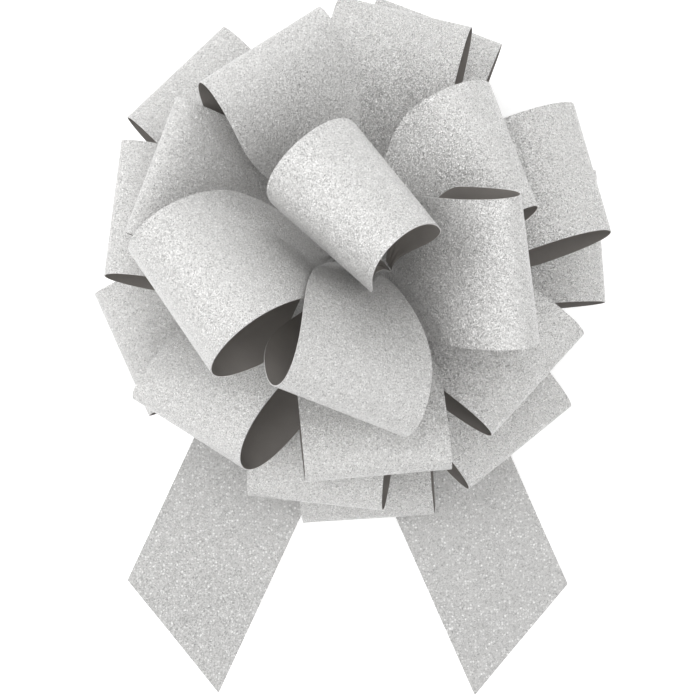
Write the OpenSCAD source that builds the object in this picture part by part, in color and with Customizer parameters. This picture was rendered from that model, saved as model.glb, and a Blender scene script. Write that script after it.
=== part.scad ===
// Pull bow: twenty ribbon loops and two tails threaded on a pair of pull strings.
// The bow lies on its back on the plane z = 0, with its strings along +Z and its tails towards -Y.

/* [Ribbon] */
// Width of the ribbon
ribbon_w = 57; // [56:0.5:58]
// Thickness of the ribbon
ribbon_t = 0.5; // [0.4:0.1:0.6]
// Width of the ribbon where it is pinched onto the strings
neck_w = 5; // [4.5:0.1:5.5]
// Distance from the neck at which most loops have opened to their full width
loop_flare = 70; // [69:1:74]
// Distance from the neck at which a tail has opened to its full width
tail_flare = 40; // [30:1:50]

/* [Stack of necks] */
// Height of the lowest neck above the surface that the bow lies on
first_neck = 7; // [7:0.5:8]
// Spacing of the necks along the strings
neck_pitch = 2.9; // [2.9:0.1:3.1]
// Height of the neck of the crown loop
crown_neck = 84; // [84:1:86]
// Outer radius of the eyelet that each neck forms round the strings
eyelet_r = 5; // [4.5:0.1:5]
// Thickness of an eyelet along the strings
eyelet_h = 2; // [1.6:0.1:2]

/* [Pull strings] */
// Radius of the two pull strings laid together
string_r = 1.6; // [1.4:0.05:1.65]
// Radius of the hole through each eyelet
bore_r = 1.7; // [1.7:0.05:1.8]
// Gap between the two strings
string_gap = 0.1; // [0.05:0.05:0.2]
// Radius of the knot at the back
back_knot_r = 8; // [7:0.5:9]
// Height of the knot at the back
back_knot_h = 2.2; // [1.8:0.1:2.2]
// Radius of the knot that stops the stack inside the crown loop
crown_knot_r = 3.6; // [3:0.1:4]

/* [Tails] */
// Length of a tail along its long edge
tail_long = 198; // [190:1:210]
// Length of a tail along its short edge
tail_short = 170; // [160:1:180]
// Direction of the left tail
left_tail_azimuth = 245; // [243:1:247]
// Direction of the right tail
right_tail_azimuth = 294; // [292:1:296]

/* [Hidden] */
// One row for each loop, from the back of the bow to its crown, as it stands after fluffing:
// azimuth and tilt of its centre line, roll about that line, reach from neck to tip, half of its
// greatest thickness, taper of that thickness across the ribbon, turn at the neck, length added to
// its flare, bend of the centre line, and how sharply the thickness is pushed towards the tip.
LOOPS = [
    [ 69,  6,  -4, 103, 11,    0,  0,   0,  0, 1.6],
    [  4,  6,  -6, 103, 11,    0,  0,   0,  0, 1.6],
    [274,  2,   6, 109,  9,    0,  0,   0,  0, 1.6],
    [204,  7,   5, 102, 11,    0,  0,   0,  0, 1.6],
    [311, 13, -14, 106, 10,    0,  0,   0,  0, 1.6],
    [134,  5,  10, 102,  9,    0,  0,   0,  0, 1.6],
    [ 19, 18, -15, 105, 13,    0,  0,   0,  0, 1.6],
    [262, 13,  11, 103, 10,    0,  0,   0,  0, 1.6],
    [170, 20,  12,  99,  9,  0.3,  0,   0,  0, 1.6],
    [ 77, 11, -11,  98,  9,    0,  0,   0,  0, 1.6],
    [228, 25,  28, 103, 14,  0.3,  0,   0,  0, 1.6],
    [324, 27, -16,  98, 10,    0,  0,   0,  0, 1.6],
    [ 33, 35, -20,  85, 13, 0.35,  0,  -8,  0, 1.6],
    [158, 34,   2,  95,  8,    0,  0,   0,  0, 1.6],
    [114, 36,  18,  98, 11,  0.1,  0,   5,  0, 1.6],
    [277, 34,  -4, 102, 10,    0,  0,   0,  0, 1.6],
    [349, 55,  22, 105, 12, -0.1,  0, -10,  0, 1.6],
    [197, 55,  26, 108, 20,  0.1,  0,   0,  6, 2.2],
    [269, 57, -32, 108, 14,    0,  0,  20, 20, 1.6],
    [122, 66,  10,  74, 19, -0.13, 90, -10,  0, 1.6]
];
LAST = len(LOOPS) - 1;
// Columns of the table
AZIMUTH = 0;
TILT = 1;
ROLL = 2;
REACH = 3;
HALF = 4;
TAPER = 5;
TURN = 6;
FLARE = 7;
BEND = 8;
PUSH = 9;
// Where the crown loop leaves the strings
crown_root = [15, -8, crown_neck];
// Facets round a loop, across its ribbon and along a tail
LOOP_STEPS = 26;
WIDTH_STEPS = 3;
TAIL_STEPS = 20;
// Half the gap between the two legs of a loop where they enter the eyelet
leg_gap = 0.5;
// Length and height of the tab between an eyelet and its ribbon
tab_l = 1.2;
tab_h = 1.6;
// Heights of the tails' eyelets and strips
tail_eyelet_h = 0.8;
left_tail_z = back_knot_h + 0.3;
right_tail_z = left_tail_z + tail_eyelet_h + 0.3;
right_tail_lift = 1.3;
tail_settle = 60;
lift_end = 105;
lift_run = 40;
// Clearance between the crown loop's twisted neck and the eyelet below it
twist_gap = 1;
SILVER = [0.78, 0.77, 0.76];
SATIN = [0.62, 0.60, 0.59];
$fn = 48;

function unit(v) = v / norm(v);
function smooth(u) = let (c = min(max(u, 0), 1)) c * c * (3 - 2 * c);
function opened(x, flare) = neck_w + (ribbon_w - neck_w) * smooth(x / flare);
function neck_z(k) = k == LAST ? crown_neck : first_neck + k * neck_pitch;

// Directions of a loop at distance x out from its neck: along it, across its ribbon before it rolls,
// and through its thickness
function slope(row, x) = row[TILT] + row[BEND] * (1 - 2 * x / row[REACH]);
function along(row, x) =
    let (e = slope(row, x))
    [cos(e) * cos(row[AZIMUTH]), cos(e) * sin(row[AZIMUTH]), sin(e)];
function across(row) = [-sin(row[AZIMUTH]), cos(row[AZIMUTH]), 0];
function through(row, x) = cross(along(row, x), across(row));

// Where a loop leaves the strings, and how far its centre line has gone from there at distance x
function root(k) = k == LAST ? crown_root
    : [eyelet_r * cos(LOOPS[k][AZIMUTH]), eyelet_r * sin(LOOPS[k][AZIMUTH]), neck_z(k)];
function centre_line(row, x) =
    row[BEND] == 0 ? x * along(row, 0)
    : row[REACH] * 90 / (PI * row[BEND]) * (through(row, x) - through(row, 0));

// Swell of a loop's two legs away from its centre line, at angle t round the loop
function swell(t, push) = sin(t) * pow(abs(sin(t / 2)), push);
function swell_peak(push) = swell(2 * acos(sqrt(1 / (2 + push))), push);
// Distance out from the neck, and half thickness, at angle t round a loop
function reach_at(row, t) = row[REACH] * (1 - cos(t)) / 2;
function swell_at(row, t) =
    row[HALF] * swell(t, row[PUSH]) / swell_peak(row[PUSH]) + leg_gap * cos(t / 2);
// Outward normal of the loop's outline, in its own plane
function outline_normal(row, t) =
    let (d = 0.5, a = min(t + d, 360), b = max(t - d, 0))
    unit([swell_at(row, a) - swell_at(row, b), reach_at(row, b) - reach_at(row, a)]) * -1;
// Point of loop k at angle t and fraction w across the ribbon, moved by s along the normal
function loop_point(k, t, w, s) =
    let (row = LOOPS[k], x = reach_at(row, t), n = outline_normal(row, t),
         flare = loop_flare + row[FLARE],
         roll = row[TURN] + row[ROLL] * smooth(x / flare),
         y_dir = cos(roll) * across(row) + sin(roll) * through(row, x),
         z_dir = cos(roll) * through(row, x) - sin(roll) * across(row))
    root(k) + centre_line(row, x) + s * n[0] * along(row, x)
        + (swell_at(row, t) * (1 + 2 * row[TAPER] * w) + s * n[1]) * z_dir
        + opened(x, flare) * w * y_dir;

// Point of a tail at fraction u along it and w across it, at height s above its underside
function tail_point(side, z, u, w, s) =
    let (end = (tail_long + tail_short) / 2 + side * w * (tail_long - tail_short),
         x = eyelet_r + u * (end - eyelet_r))
    [x, opened(x - eyelet_r, tail_flare) * w, s + tail_height(side, z, x)];
function tail_height(side, z, x) =
    let (lift = side > 0 ? 0 : right_tail_lift)
    lift * (1 - smooth((x - lift_end) / lift_run))
        + (z - lift) * (1 - smooth((x - eyelet_r) / tail_settle));

// Closed solid between two grids of (m + 1) by (n + 1) points, outer first
module sheet(outer, inner, m, n) {
    pts = concat([for (r = outer) each r], [for (r = inner) each r]);
    half = (m + 1) * (n + 1);
    function at(i, j) = i * (n + 1) + j;
    faces = concat(
        [for (i = [0:m - 1], j = [0:n - 1]) each [
            [at(i, j), at(i, j + 1), at(i + 1, j + 1)],
            [at(i, j), at(i + 1, j + 1), at(i + 1, j)],
            [half + at(i, j), half + at(i + 1, j + 1), half + at(i, j + 1)],
            [half + at(i, j), half + at(i + 1, j), half + at(i + 1, j + 1)]]],
        [for (i = [0:m - 1]) each [
            [at(i, 0), at(i + 1, 0), half + at(i + 1, 0)],
            [at(i, 0), half + at(i + 1, 0), half + at(i, 0)],
            [at(i, n), half + at(i + 1, n), at(i + 1, n)],
            [at(i, n), half + at(i, n), half + at(i + 1, n)]]],
        [for (j = [0:n - 1]) each [
            [at(0, j), half + at(0, j + 1), at(0, j + 1)],
            [at(0, j), half + at(0, j), half + at(0, j + 1)],
            [at(m, j), at(m, j + 1), half + at(m, j + 1)],
            [at(m, j), half + at(m, j + 1), half + at(m, j)]]]);
    polyhedron(pts, faces, convexity = 8);
}

// Looped ribbon k, from its neck round to its neck again
module loop(k) {
    function grid(s) = [for (i = [0:LOOP_STEPS]) [for (j = [0:WIDTH_STEPS])
        loop_point(k, 360 * i / LOOP_STEPS, j / WIDTH_STEPS - 0.5, s)]];
    color(SILVER) sheet(grid(ribbon_t / 2), grid(-ribbon_t / 2), LOOP_STEPS, WIDTH_STEPS);
}

// Pinched neck of loop k: an eyelet round the strings, and a tab that the ribbon runs out from
module neck(k) {
    row = LOOPS[k];
    color(SILVER) difference() {
        union() {
            if (k == LAST) {
                crown_twist();
            } else {
                translate([0, 0, neck_z(k)]) cylinder(h = eyelet_h, r = eyelet_r, center = true);
            }
            translate(root(k)) rotate([row[TURN], -slope(row, 0), row[AZIMUTH]])
                translate([-tab_l, -neck_w / 2, -tab_h / 2]) cube([tab_l, neck_w, tab_h]);
        }
        translate([0, 0, neck_z(k) - 70]) cylinder(h = 140, r = bore_r);
        translate(root(k)) rotate([0, -slope(row, 0), row[AZIMUTH]])
            translate([0, -10, -10]) cube(20);
    }
}

// Twisted neck that carries the crown loop up the strings, with the arm that holds its root
module crown_twist() {
    low = neck_z(LAST - 1) + eyelet_h / 2 + twist_gap;
    rotate_extrude() polygon([[0, low], [4, low], [3, (low + crown_neck) / 2],
        [eyelet_r, crown_neck - 1], [eyelet_r, crown_neck + 1], [0, crown_neck + 1]]);
    translate([0, 0, crown_neck]) rotate([0, 0, atan2(crown_root[1], crown_root[0])])
        translate([0, -1.5, -1.6]) cube([norm([crown_root[0], crown_root[1]]), 3, 1.6]);
}

// Flat tail with a slanted end: side is 1 where the long edge is the left one, seen from the neck
module tail(azimuth, side, z) {
    function grid(s) = [for (i = [0:TAIL_STEPS]) [for (j = [0:WIDTH_STEPS])
        tail_point(side, z, i / TAIL_STEPS, j / WIDTH_STEPS - 0.5, s)]];
    color(SILVER) rotate([0, 0, azimuth])
        sheet(grid(ribbon_t), grid(0), TAIL_STEPS, WIDTH_STEPS);
}

// Pinched neck of a tail: a thin eyelet round the strings, and the tab that the tail runs out from
module tail_neck(azimuth, z) {
    color(SILVER) rotate([0, 0, azimuth]) translate([0, 0, z]) difference() {
        union() {
            cylinder(h = tail_eyelet_h, r = eyelet_r);
            translate([0, -neck_w / 2, 0]) cube([eyelet_r, neck_w, tail_eyelet_h]);
        }
        translate([0, 0, -1]) cylinder(h = 3, r = bore_r);
    }
}

module tail_left() {
    tail(left_tail_azimuth, 1, left_tail_z);
}

module tail_right() {
    tail(right_tail_azimuth, -1, right_tail_z);
}

module tail_neck_left() {
    tail_neck(left_tail_azimuth, left_tail_z);
}

module tail_neck_right() {
    tail_neck(right_tail_azimuth, right_tail_z);
}

// Knot at the back, flat underneath, where the strings are tied off
module back_knot() {
    edge = back_knot_h / 2;
    color(SATIN) rotate_extrude() union() {
        square([back_knot_r - edge, back_knot_h]);
        translate([back_knot_r - edge, edge]) circle(r = edge);
    }
}

// One of the two pull strings: half of the round bundle, from the back knot to the crown knot
module pull_string(side) {
    top = crown_neck + eyelet_h / 2 + 0.5;
    color(SATIN) intersection() {
        translate([0, 0, back_knot_h]) cylinder(h = top - back_knot_h, r = string_r);
        translate([side > 0 ? string_gap / 2 : -string_r - string_gap / 2, -string_r, 0])
            cube([string_r, 2 * string_r, top]);
    }
}

module pull_string_a() {
    pull_string(1);
}

module pull_string_b() {
    pull_string(-1);
}

// Knot that keeps the stack on the strings, hidden inside the crown loop
module crown_knot() {
    bottom = crown_neck + eyelet_h / 2 + 0.5;
    color(SATIN) translate([0, 0, bottom]) rotate_extrude() union() {
        square([crown_knot_r - 1, 3]);
        translate([crown_knot_r - 1, 1.5]) circle(r = 1.5);
    }
}

back_knot();
pull_string_a();
pull_string_b();
crown_knot();
tail_left();
tail_right();
tail_neck_left();
tail_neck_right();
neck(0);  // neck_01
neck(1);  // neck_02
neck(2);  // neck_03
neck(3);  // neck_04
neck(4);  // neck_05
neck(5);  // neck_06
neck(6);  // neck_07
neck(7);  // neck_08
neck(8);  // neck_09
neck(9);  // neck_10
neck(10);  // neck_11
neck(11);  // neck_12
neck(12);  // neck_13
neck(13);  // neck_14
neck(14);  // neck_15
neck(15);  // neck_16
neck(16);  // neck_17
neck(17);  // neck_18
neck(18);  // neck_19
neck(19);  // neck_20
loop(0);  // loop_01
loop(1);  // loop_02
loop(2);  // loop_03
loop(3);  // loop_04
loop(4);  // loop_05
loop(5);  // loop_06
loop(6);  // loop_07
loop(7);  // loop_08
loop(8);  // loop_09
loop(9);  // loop_10
loop(10);  // loop_11
loop(11);  // loop_12
loop(12);  // loop_13
loop(13);  // loop_14
loop(14);  // loop_15
loop(15);  // loop_16
loop(16);  // loop_17
loop(17);  // loop_18
loop(18);  // loop_19
loop(19);  // loop_20
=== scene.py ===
"""Pull bow of silver glitter ribbon: twenty loops and two tails on a pair of pull strings.

Lengths are millimetres, in the frame's own axes: +Z up the strings, -Y towards the tails.
"""

import math

import bpy
import numpy as np
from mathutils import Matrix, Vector


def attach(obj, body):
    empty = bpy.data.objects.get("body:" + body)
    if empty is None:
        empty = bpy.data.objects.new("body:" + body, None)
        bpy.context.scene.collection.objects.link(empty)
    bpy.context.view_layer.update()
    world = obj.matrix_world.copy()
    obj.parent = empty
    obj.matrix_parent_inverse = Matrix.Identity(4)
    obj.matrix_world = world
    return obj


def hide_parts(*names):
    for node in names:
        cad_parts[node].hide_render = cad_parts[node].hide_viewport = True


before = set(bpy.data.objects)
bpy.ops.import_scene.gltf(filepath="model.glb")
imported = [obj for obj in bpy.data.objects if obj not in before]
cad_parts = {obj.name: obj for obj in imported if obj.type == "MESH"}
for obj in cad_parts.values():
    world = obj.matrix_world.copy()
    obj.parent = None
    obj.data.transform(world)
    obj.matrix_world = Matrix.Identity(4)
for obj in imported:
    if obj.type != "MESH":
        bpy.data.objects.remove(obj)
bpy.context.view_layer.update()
MM = 0.001
bpy.context.scene.view_settings.view_transform = "Standard"

# ---------------------------------------------------------------- camera
camera = bpy.data.objects.new("camera", bpy.data.cameras.new("camera"))
bpy.context.scene.collection.objects.link(camera)
camera.location = (-0.0002, -0.0412, 0.9)
camera.data.lens = 105.5
camera.data.sensor_width = 36
camera.data.clip_start = 0.05
bpy.context.scene.camera = camera

# ---------------------------------------------------------------- the bow's own sizes
RIBBON_W, RIBBON_T, NECK_W = 57.0, 0.42, 5.0
EYELET_R, EYELET_HALF, FIRST_NECK, PITCH = 5.0, 1.0, 7.0, 2.9
BORE_R = 1.75  # hole in a neck, round the two pull strings
LEG_GAP = 0.5  # half the gap between a loop's two legs where they meet at the neck

# the crown loop stands on a twisted neck, led sideways to its root by a doubled fold of ribbon
CROWN_ROOT = np.array([15.0, -8.0, 84.0])
TWIST_LOW, TWIST_R, TWIST_FOOT, TWIST_HEAD, TWIST_WAIST = 61.2, 3.0, 0.2, 1.6, 12
ARM_START, ARM_HALF_W, ARM_TALL, ARM_THICK = 2.6, 0.8, 1.9, 0.8

# pleats that run out of each neck: how many, how deep, where they rise, and where they fade
PLEATS, PLEAT_DEEP, PLEAT_RISE, PLEAT_KEEP, PLEAT_FADE = 4, 0.35, 8, 10, 34

# flutes of gathered ribbon: their inward share, the radius they start at and how fast they grow
FLUTE_SHIFT, FLUTE_FROM, FLUTE_RUN, FLUTE_PHASE = 0.4, 1.9, 2, 1.1
NECK_FLUTES, TWIST_FLUTES = 13, 7

# azimuth, tilt, roll, reach, half thickness, taper, turn at the neck, flare, bend, push of swell
LOOPS = [
    (69, 6, -4, 103, 11, 0, 0, 70, 0, 1.6),
    (4, 6, -6, 103, 11, 0, 0, 70, 0, 1.6),
    (274, 2, 6, 109, 9, 0, 0, 70, 0, 1.6),
    (204, 7, 5, 102, 11, 0, 0, 70, 0, 1.6),
    (311, 13, -14, 106, 10, 0, 0, 70, 0, 1.6),
    (134, 5, 10, 102, 9, 0, 0, 70, 0, 1.6),
    (19, 18, -15, 105, 13, 0, 0, 70, 0, 1.6),
    (262, 13, 11, 103, 10, 0, 0, 70, 0, 1.6),
    (170, 20, 12, 99, 9, 0.3, 0, 70, 0, 1.6),
    (77, 11, -11, 98, 9, 0, 0, 70, 0, 1.6),
    (228, 25, 28, 103, 14, 0.3, 0, 70, 0, 1.6),
    (324, 27, -16, 98, 10, 0, 0, 70, 0, 1.6),
    (33, 35, -20, 85, 13, 0.35, 0, 62, 0, 1.6),
    (158, 34, 2, 95, 8, 0, 0, 70, 0, 1.6),
    (114, 36, 18, 98, 11, 0.1, 0, 75, 0, 1.6),
    (277, 34, -4, 102, 10, 0, 0, 70, 0, 1.6),
    (349, 55, 22, 105, 12, -0.1, 0, 60, 0, 1.6),
    (197, 55, 26, 108, 20, 0.1, 0, 70, 6, 2.2),
    (269, 57, -32, 108, 14, 0, 0, 90, 20, 1.6),
    (122, 66, 10, 74, 19, -0.13, 90, 60, 0, 1.6),
]
LAST = len(LOOPS) - 1
TAIL_LONG, TAIL_SHORT, TAIL_FLARE, TAIL_SETTLE = 198.0, 170.0, 40.0, 60.0
TAIL_NECK_H = 0.8
# azimuth, which edge is the longer, height of the neck, lift of the part under the bow
TAILS = {"left": (245, 1, 2.5, 0.0), "right": (294, -1, 3.6, 1.3)}
LIFT_END, LIFT_RUN = 105.0, 40.0
FLOOR_GAP = 0.25  # the middle of a tail's film lies this high where the tail rests
# slight waves of a tail's free part: where they start, their build-up, height and length
WAVE_FROM, WAVE_RUN, WAVE_H, WAVE_LONG = 110, 30, 0.3, 11


def smooth(u):
    u = np.clip(u, 0, 1)
    return u * u * (3 - 2 * u)


def swell(t, push):
    return np.sin(t) * np.abs(np.sin(t / 2)) ** push


def loop_surface(k, t, w):
    """Middle surface of loop k at angles t round it (rows) and fractions w across it (columns)."""
    az, tilt, roll, reach, half, taper, turn, flare, bend, push = LOOPS[k]
    a, e, b = math.radians(az), math.radians(tilt), math.radians(bend)
    out = np.array([math.cos(a), math.sin(a), 0])
    side = np.array([-math.sin(a), math.cos(a), 0])
    up = np.array([0, 0, 1])
    root = CROWN_ROOT if k == LAST else EYELET_R * out + (FIRST_NECK + k * PITCH) * up
    x = (reach * (1 - np.cos(t)) / 2)[:, None]
    slope = e + b * (1 - 2 * x / reach)
    through = -np.sin(slope) * out + np.cos(slope) * up
    if bend:
        line = reach / (2 * b) * (through + math.sin(e + b) * out - math.cos(e + b) * up)
    else:
        line = x * (math.cos(e) * out + math.sin(e) * up)
    r = np.radians(turn + roll * smooth(x / flare))
    y_dir = np.cos(r) * side + np.sin(r) * through
    z_dir = np.cos(r) * through - np.sin(r) * side
    peak = 2 * math.acos(math.sqrt(1 / (2 + push)))
    z = half * swell(t, push) / swell(peak, push) + LEG_GAP * np.cos(t / 2)
    z = z[:, None] * (1 + 2 * taper * w)
    pleats = PLEAT_DEEP * np.sin(2 * PLEATS * np.pi * w)
    z = z + pleats * smooth(x / PLEAT_RISE) * (1 - smooth((x - PLEAT_KEEP) / PLEAT_FADE))
    wide = NECK_W + (RIBBON_W - NECK_W) * smooth(x / flare)
    return (
        root
        + line[:, None]
        + z[..., None] * z_dir[:, None]
        + (wide * w)[..., None] * y_dir[:, None]
    )


def normals(p):
    n = np.cross(np.gradient(p, axis=0), np.gradient(p, axis=1))
    return n / (np.linalg.norm(n, axis=2, keepdims=True) + 1e-12)


def ribbon(name, middle, outward, thickness, mats):
    """A closed thin sheet about a grid of middle points, with its outer, inner and edge materials."""
    n = normals(middle) * outward
    m, c = middle.shape[:2]
    outer, inner = middle + n * thickness / 2, middle - n * thickness / 2
    verts = np.concatenate([outer.reshape(-1, 3), inner.reshape(-1, 3)])
    half = m * c
    faces, slots = [], []

    def quad(a, b, d, e, s):
        faces.append((a, b, d, e) if outward > 0 else (e, d, b, a))
        slots.append(s)

    for i in range(m - 1):
        for j in range(c - 1):
            p = i * c + j
            quad(p, p + c, p + c + 1, p + 1, 0)
            quad(half + p, half + p + 1, half + p + c + 1, half + p + c, 1)
    for i in range(m - 1):
        a, b = i * c, (i + 1) * c
        quad(a, half + a, half + b, b, 2)
        a, b = a + c - 1, b + c - 1
        quad(a, b, half + b, half + a, 2)
    for j in range(c - 1):
        quad(j, j + 1, half + j + 1, half + j, 2)
        a = (m - 1) * c + j
        quad(a, half + a, half + a + 1, a + 1, 2)
    me = bpy.data.meshes.new(name)
    me.from_pydata((verts * MM).tolist(), [], faces)
    me.polygons.foreach_set("material_index", slots)
    me.polygons.foreach_set("use_smooth", [True] * len(faces))
    rim = {e for f, s in zip(faces, slots) if s == 2 for e in f}
    side = np.zeros(len(verts), bool)
    side[list(rim)] = True
    for e in me.edges:
        a, b = e.vertices
        if side[a] and side[b] and (a < half) == (b < half):
            e.use_edge_sharp = True
    for mat in mats:
        me.materials.append(mat)
    me.validate()
    obj = bpy.data.objects.new(name, me)
    bpy.context.scene.collection.objects.link(obj)
    return obj


def solid(name, grid, mats):
    """A smooth closed solid from a grid of points that wraps round both ways."""
    m, c = grid.shape[:2]
    faces = [
        (i * c + j, (i + 1) % m * c + j, (i + 1) % m * c + (j + 1) % c, i * c + (j + 1) % c)
        for i in range(m)
        for j in range(c)
    ]
    me = bpy.data.meshes.new(name)
    me.from_pydata((grid.reshape(-1, 3) * MM).tolist(), [], faces)
    me.polygons.foreach_set("use_smooth", [True] * len(faces))
    for mat in mats:
        me.materials.append(mat)
    obj = bpy.data.objects.new(name, me)
    bpy.context.scene.collection.objects.link(obj)
    return obj


def gathered(name, outline, flutes, depth, lift=0.0, twist=0.0):
    """Ribbon gathered round the strings: a closed (radius, height) outline turned and fluted."""
    a = np.linspace(0, 2 * np.pi, 144, endpoint=False)[:, None]
    r, z = np.array(outline).T
    loose = smooth((r - FLUTE_FROM) / FLUTE_RUN)
    fold = np.sin(flutes * a + twist * z)
    radius = r + depth * loose * (fold - FLUTE_SHIFT)
    height = z + lift * loose * np.sin(flutes * a + FLUTE_PHASE)
    grid = np.stack([radius * np.cos(a), radius * np.sin(a), height], -1)
    return solid(name, grid, [GLITTER])


def outline_ring(inner, outer, low, high):
    """Round-cornered outline of an eyelet, as (radius, height) pairs running anticlockwise."""
    c, pts = min(0.5, (high - low) / 2 - 0.02), []
    for cz, start in ((low + c, -90), (high - c, 0)):
        for q in (0, 30, 60, 90):
            at = math.radians(start + q)
            pts.append((outer - c + c * math.cos(at), cz + c * math.sin(at)))
    half_way = (outer + inner) / 2
    return pts + [(half_way, high), (inner, high), (inner, low), (half_way, low)]


def strand(name, line, across, wide, thick, mats):
    """A flat soft strand along a closed line of points, its width along the across vectors."""
    ahead = np.roll(line, -1, axis=0) - np.roll(line, 1, axis=0)
    ahead /= np.linalg.norm(ahead, axis=1, keepdims=True)
    across = across - (across * ahead).sum(1, keepdims=True) * ahead
    across /= np.linalg.norm(across, axis=1, keepdims=True)
    up = np.cross(ahead, across)
    a = np.linspace(0, 2 * np.pi, 16, endpoint=False)
    x = (wide / 2 * np.sign(np.cos(a)) * np.abs(np.cos(a)) ** 0.7)[None, :, None]
    y = (thick / 2 * np.sin(a))[None, :, None]
    return solid(name, line[:, None] + x * across[:, None] + y * up[:, None], mats)


def knot(name, body, node, radius, wide, thick, low, high):
    """A flattened overhand knot tied in the pull strings, in the room that its CAD puck holds."""
    t = np.linspace(0, 2 * np.pi, 160, endpoint=False)
    reach = (radius - wide / 2) / 3
    r = reach * (2 + np.cos(3 * t))
    rise = (high - low - thick) / 2
    height = (low + high) / 2 + rise * np.sin(3 * t)
    line = np.stack([r * np.cos(2 * t), r * np.sin(2 * t), height], -1)
    out = np.stack([np.cos(2 * t), np.sin(2 * t), 0 * t], -1)
    piece = strand(name, line, out, wide, thick, [STRING])
    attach(piece, body)
    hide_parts(node)


# ---------------------------------------------------------------- materials
def shader(name):
    mat = bpy.data.materials.new(name)
    mat.use_nodes = True
    nodes, links = mat.node_tree.nodes, mat.node_tree.links
    return mat, nodes, links, nodes["Principled BSDF"]


def ramp(nodes, stops):
    r = nodes.new("ShaderNodeValToRGB")
    while len(r.color_ramp.elements) < len(stops):
        r.color_ramp.elements.new(0.5)
    for el, (pos, col) in zip(r.color_ramp.elements, stops):
        el.position = pos
        el.color = (*col, 1)
    return r


def glitter(name, grain, glint_size, plain, contrast):
    """Glitter film: flakes of many greys, each leaning its own way, with scattered near-white dots
    painted into the colour as glints.
    """
    mat, nodes, links, bsdf = shader(name)
    coord = nodes.new("ShaderNodeTexCoord")

    def flakes(size, cuts):
        cells = nodes.new("ShaderNodeTexVoronoi")
        cells.inputs["Scale"].default_value = 1000 / size
        links.new(coord.outputs["Object"], cells.inputs["Vector"])
        split = nodes.new("ShaderNodeSeparateColor")
        links.new(cells.outputs["Color"], split.inputs["Color"])
        grey = ramp(nodes, [(p, (v, v * 0.993, v * 0.98)) for p, v in cuts])
        links.new(split.outputs["Red"], grey.inputs["Fac"])
        return cells, grey

    c = contrast
    greys = [
        (0.0, plain - 0.34 * c),
        (0.2, plain - 0.10 * c),
        (0.7, plain + 0.02 * c),
        (0.88, plain + 0.10 * c),
        (1.0, min(0.98, plain + 0.34 * c)),
    ]
    fine, body = flakes(grain, greys)
    # painted glints: scattered near-white dots in the base colour stand in for flakes that catch the
    # light
    glint_cells, lit = flakes(glint_size, [(0.0, 0.0), (0.5, 0.0), (0.6, 0.3), (1.0, 0.85)])
    dot = ramp(nodes, [(0.12, (1, 1, 1)), (0.5, (0, 0, 0))])
    links.new(glint_cells.outputs["Distance"], dot.inputs["Fac"])
    glint_mask = nodes.new("ShaderNodeMath")
    glint_mask.operation = "MULTIPLY"
    links.new(dot.outputs["Color"], glint_mask.inputs[0])
    links.new(lit.outputs["Color"], glint_mask.inputs[1])
    both = nodes.new("ShaderNodeMix")
    both.data_type = "RGBA"
    links.new(glint_mask.outputs["Value"], both.inputs["Factor"])
    links.new(body.outputs["Color"], both.inputs[6])
    both.inputs[7].default_value = (0.97, 0.97, 0.96, 1)
    links.new(both.outputs[2], bsdf.inputs["Base Color"])
    lean = nodes.new("ShaderNodeVectorMath")
    lean.operation = "SUBTRACT"
    links.new(fine.outputs["Color"], lean.inputs[0])
    lean.inputs[1].default_value = (0.5, 0.5, 0.5)
    scaled = nodes.new("ShaderNodeVectorMath")
    scaled.operation = "SCALE"
    links.new(lean.outputs["Vector"], scaled.inputs[0])
    scaled.inputs["Scale"].default_value = 0.9 * c
    geo = nodes.new("ShaderNodeNewGeometry")
    add = nodes.new("ShaderNodeVectorMath")
    add.operation = "ADD"
    links.new(geo.outputs["Normal"], add.inputs[0])
    links.new(scaled.outputs["Vector"], add.inputs[1])
    unit = nodes.new("ShaderNodeVectorMath")
    unit.operation = "NORMALIZE"
    links.new(add.outputs["Vector"], unit.inputs[0])
    links.new(unit.outputs["Vector"], bsdf.inputs["Normal"])
    bsdf.inputs["Roughness"].default_value = 0.3
    bsdf.inputs["Metallic"].default_value = 0.2
    return mat


def satin(name, col):
    """The ribbon's smooth inner face: warm grey film with faint clouds and a fine grain."""
    mat, nodes, links, bsdf = shader(name)
    coord = nodes.new("ShaderNodeTexCoord")
    cloud = nodes.new("ShaderNodeTexNoise")
    cloud.inputs["Scale"].default_value = 60
    cloud.inputs["Detail"].default_value = 5
    links.new(coord.outputs["Object"], cloud.inputs["Vector"])
    tint = ramp(nodes, [(0.3, tuple(c * 0.92 for c in col)), (0.7, tuple(c * 1.08 for c in col))])
    links.new(cloud.outputs["Fac"], tint.inputs["Fac"])
    links.new(tint.outputs["Color"], bsdf.inputs["Base Color"])
    grain = nodes.new("ShaderNodeTexNoise")
    grain.inputs["Scale"].default_value = 1400
    grain.inputs["Detail"].default_value = 3
    links.new(coord.outputs["Object"], grain.inputs["Vector"])
    bump = nodes.new("ShaderNodeBump")
    bump.inputs["Strength"].default_value = 0.15
    bump.inputs["Distance"].default_value = 0.0003
    links.new(grain.outputs["Fac"], bump.inputs["Height"])
    links.new(bump.outputs["Normal"], bsdf.inputs["Normal"])
    bsdf.inputs["Roughness"].default_value = 0.5
    return mat


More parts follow.
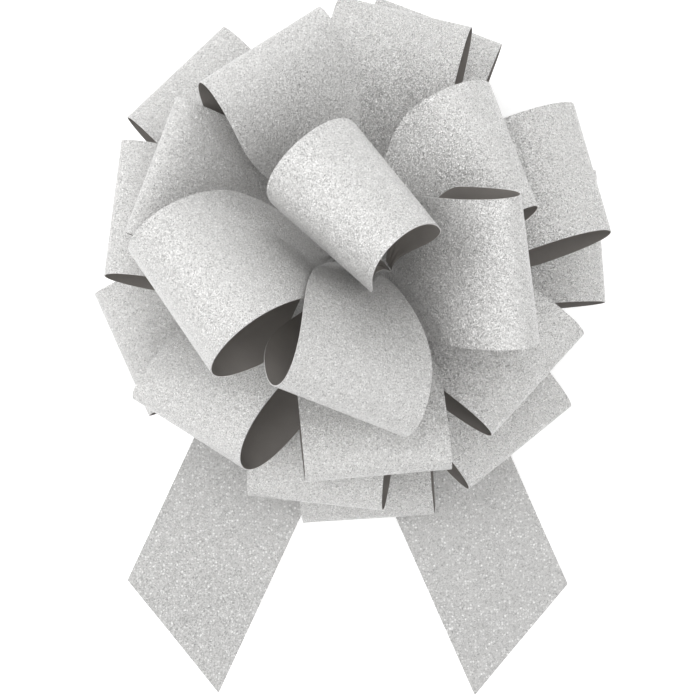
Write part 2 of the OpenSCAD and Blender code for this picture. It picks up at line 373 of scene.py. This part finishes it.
def woven(name, col):
    """The pull strings' narrow cloth: warm grey with the ribs of its weave running across."""
    mat, nodes, links, bsdf = shader(name)
    coord = nodes.new("ShaderNodeTexCoord")
    ribs = nodes.new("ShaderNodeTexWave")
    ribs.bands_direction = "Z"
    ribs.inputs["Scale"].default_value = 500
    ribs.inputs["Distortion"].default_value = 1.5
    ribs.inputs["Detail"].default_value = 2
    links.new(coord.outputs["Object"], ribs.inputs["Vector"])
    tint = ramp(nodes, [(0.0, tuple(c * 0.7 for c in col)), (1.0, tuple(c * 1.1 for c in col))])
    links.new(ribs.outputs["Fac"], tint.inputs["Fac"])
    links.new(tint.outputs["Color"], bsdf.inputs["Base Color"])
    bump = nodes.new("ShaderNodeBump")
    bump.inputs["Strength"].default_value = 0.4
    bump.inputs["Distance"].default_value = 0.0002
    links.new(ribs.outputs["Fac"], bump.inputs["Height"])
    links.new(bump.outputs["Normal"], bsdf.inputs["Normal"])
    bsdf.inputs["Roughness"].default_value = 0.65
    return mat


GLITTER = glitter("ribbon_glitter", 0.3, 0.9, 0.64, 1.05)
# the tails' copy of the glitter: coarser, softer flakes, and a darker grey (0.48 against 0.64) that
# is painted shade on the same ribbon
COARSE = glitter("ribbon_glitter_tail", 0.45, 1.15, 0.48, 0.5)
SATIN = satin("ribbon_inner", (0.262, 0.245, 0.23))
EDGE = satin("ribbon_edge", (0.62, 0.61, 0.60))
STRING = woven("pull_string", (0.55, 0.53, 0.51))

# ---------------------------------------------------------------- ribbon loops
LOOP_ROWS, LOOP_COLS = 121, 25
for k in range(len(LOOPS)):
    node = "loop_%02d" % (k + 1)
    t = np.linspace(0, 2 * np.pi, LOOP_ROWS)
    w = np.linspace(-0.5, 0.5, LOOP_COLS)
    mid = loop_surface(k, t, w)
    n = normals(mid)
    i = LOOP_ROWS // 4
    centre = mid.reshape(-1, 3).mean(0)
    outward = 1 if n[i, LOOP_COLS // 2] @ (mid[i, LOOP_COLS // 2] - centre) > 0 else -1
    piece = ribbon("ribbon_" + node, mid, outward, RIBBON_T, [GLITTER, SATIN, EDGE])
    if k == LAST:
        h = np.linspace(TWIST_LOW, CROWN_ROOT[2] + 1, 26)
        above = h - (TWIST_LOW + CROWN_ROOT[2]) / 2
        spread = np.where(above < 0, TWIST_FOOT, TWIST_HEAD)
        radii = TWIST_R + spread * smooth(np.abs(above) / TWIST_WAIST)
        shape = list(zip(radii, h)) + [(BORE_R, h[-1]), (BORE_R, h[0])]
        neck = gathered("gather_" + node, shape, TWIST_FLUTES, 0.6, twist=0.25)
    else:
        z = FIRST_NECK + k * PITCH
        shape = outline_ring(BORE_R, EYELET_R, z - EYELET_HALF, z + EYELET_HALF)
        neck = gathered("gather_" + node, shape, NECK_FLUTES, 0.4, lift=0.2)
    for part, old in ((piece, node), (neck, node.replace("loop", "neck"))):
        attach(part, node)
        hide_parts(old)

# the fold that leads the crown loop's neck sideways to its root
t = np.linspace(0, 2 * np.pi, 60, endpoint=False)
arm_long = np.linalg.norm(CROWN_ROOT[:2])
along = CROWN_ROOT[:2] / arm_long
side = np.array([-along[1], along[0]])
half_arm = (arm_long - ARM_START) / 2 * along
flat_line = ARM_START * along + half_arm + np.cos(t)[:, None] * half_arm
flat_line = flat_line + ARM_HALF_W * np.sin(t)[:, None] * side
fold = strand(
    "fold_loop_20",
    np.column_stack([flat_line, CROWN_ROOT[2] - ARM_THICK + 0 * t]),
    np.tile([0.0, 0.0, 1.0], (len(t), 1)),
    ARM_TALL,
    ARM_THICK,
    [GLITTER],
)
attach(fold, "loop_20")

# ---------------------------------------------------------------- tails
TAIL_ROWS, TAIL_COLS = 90, 25
for side, (az, sign, z, lift) in TAILS.items():
    u = np.linspace(0, 1, TAIL_ROWS)[:, None]
    w = np.linspace(-0.5, 0.5, TAIL_COLS)[None, :]
    end = (TAIL_LONG + TAIL_SHORT) / 2 + sign * w * (TAIL_LONG - TAIL_SHORT)
    x = EYELET_R + u * (end - EYELET_R)
    y = (NECK_W + (RIBBON_W - NECK_W) * smooth((x - EYELET_R) / TAIL_FLARE)) * w
    h = lift * (1 - smooth((x - LIFT_END) / LIFT_RUN))
    h = h + (z - lift) * (1 - smooth((x - EYELET_R) / TAIL_SETTLE))
    h = h + WAVE_H * smooth((x - WAVE_FROM) / WAVE_RUN) * (1 + np.sin(x / WAVE_LONG + 2 * w * sign))
    c, s = math.cos(math.radians(az)), math.sin(math.radians(az))
    mid = np.stack([x * c - y * s, x * s + y * c, h + FLOOR_GAP], -1)
    outward = 1 if normals(mid)[TAIL_ROWS // 2, TAIL_COLS // 2, 2] > 0 else -1
    piece = ribbon("ribbon_tail_" + side, mid, outward, RIBBON_T, [COARSE, SATIN, EDGE])
    shape = outline_ring(BORE_R, EYELET_R, z, z + TAIL_NECK_H)
    neck = gathered("gather_tail_" + side, shape, NECK_FLUTES, 0.3, lift=0.06)
    for part, old in ((piece, "tail_" + side), (neck, "tail_neck_" + side)):
        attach(part, "tail_" + side)
        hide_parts(old)

# ---------------------------------------------------------------- knots
knot("knot_back", "back", "back_knot", 8.0, 3.4, 0.9, 0.0, 2.2)
knot("knot_crown", "core", "crown_knot", 4.1, 2.0, 1.0, CROWN_ROOT[2] + 1.5, CROWN_ROOT[2] + 4.5)

# ---------------------------------------------------------------- CAD pieces that show
for name in ("pull_string_a", "pull_string_b"):
    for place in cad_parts[name].material_slots:
        place.material = STRING

# ---------------------------------------------------------------- stage and light
FLOOR_GLOW, WORLD_GLOW = 0.4, 0.52
# name, place and size in metres, power in watts
SOFTBOXES = [
    ("left", (-1.1, 0.1, 0.9), (0.9, 0.9), 6.4),
    ("top", (0.0, 0.0, 1.5), (1.2, 1.2), 8.3),
    ("right", (1.1, 0.1, 0.9), (0.9, 0.9), 2.0),
    ("back", (0.0, 1.1, 0.9), (0.9, 0.9), 3.6),
    ("front", (0.0, -1.1, 0.9), (0.9, 0.9), 1.6),
]
FLOOR_HALF, FLOOR_Z = 4, -0.0002
floor = bpy.data.meshes.new("floor")
corners = [(i * FLOOR_HALF, j * FLOOR_HALF, FLOOR_Z) for i, j in ((-1, -1), (1, -1), (1, 1), (-1, 1))]
floor.from_pydata(corners, [], [(0, 1, 2, 3)])
mat, nodes, links, bsdf = shader("floor")
bsdf.inputs["Base Color"].default_value = (0.9, 0.9, 0.9, 1)
bsdf.inputs["Roughness"].default_value = 0.9
bsdf.inputs["Emission Color"].default_value = (1, 1, 1, 1)
bsdf.inputs["Emission Strength"].default_value = FLOOR_GLOW
floor.materials.append(mat)
stage = bpy.data.objects.new("floor", floor)
bpy.context.scene.collection.objects.link(stage)

world = bpy.data.worlds.new("studio")
world.use_nodes = True
world.node_tree.nodes["Background"].inputs["Color"].default_value = (1, 1, 1, 1)
world.node_tree.nodes["Background"].inputs["Strength"].default_value = WORLD_GLOW
bpy.context.scene.world = world


def softbox(name, at, size, power):
    lamp = bpy.data.lights.new(name, "AREA")
    lamp.shape = "RECTANGLE"
    lamp.size, lamp.size_y = size
    lamp.energy = power
    obj = bpy.data.objects.new(name, lamp)
    obj.location = at
    aim = Vector((0, 0, 0.05)) - Vector(at)
    obj.rotation_mode = "QUATERNION"
    obj.rotation_quaternion = aim.to_track_quat("-Z", "Y")
    bpy.context.scene.collection.objects.link(obj)


for box in SOFTBOXES:
    softbox(*box)
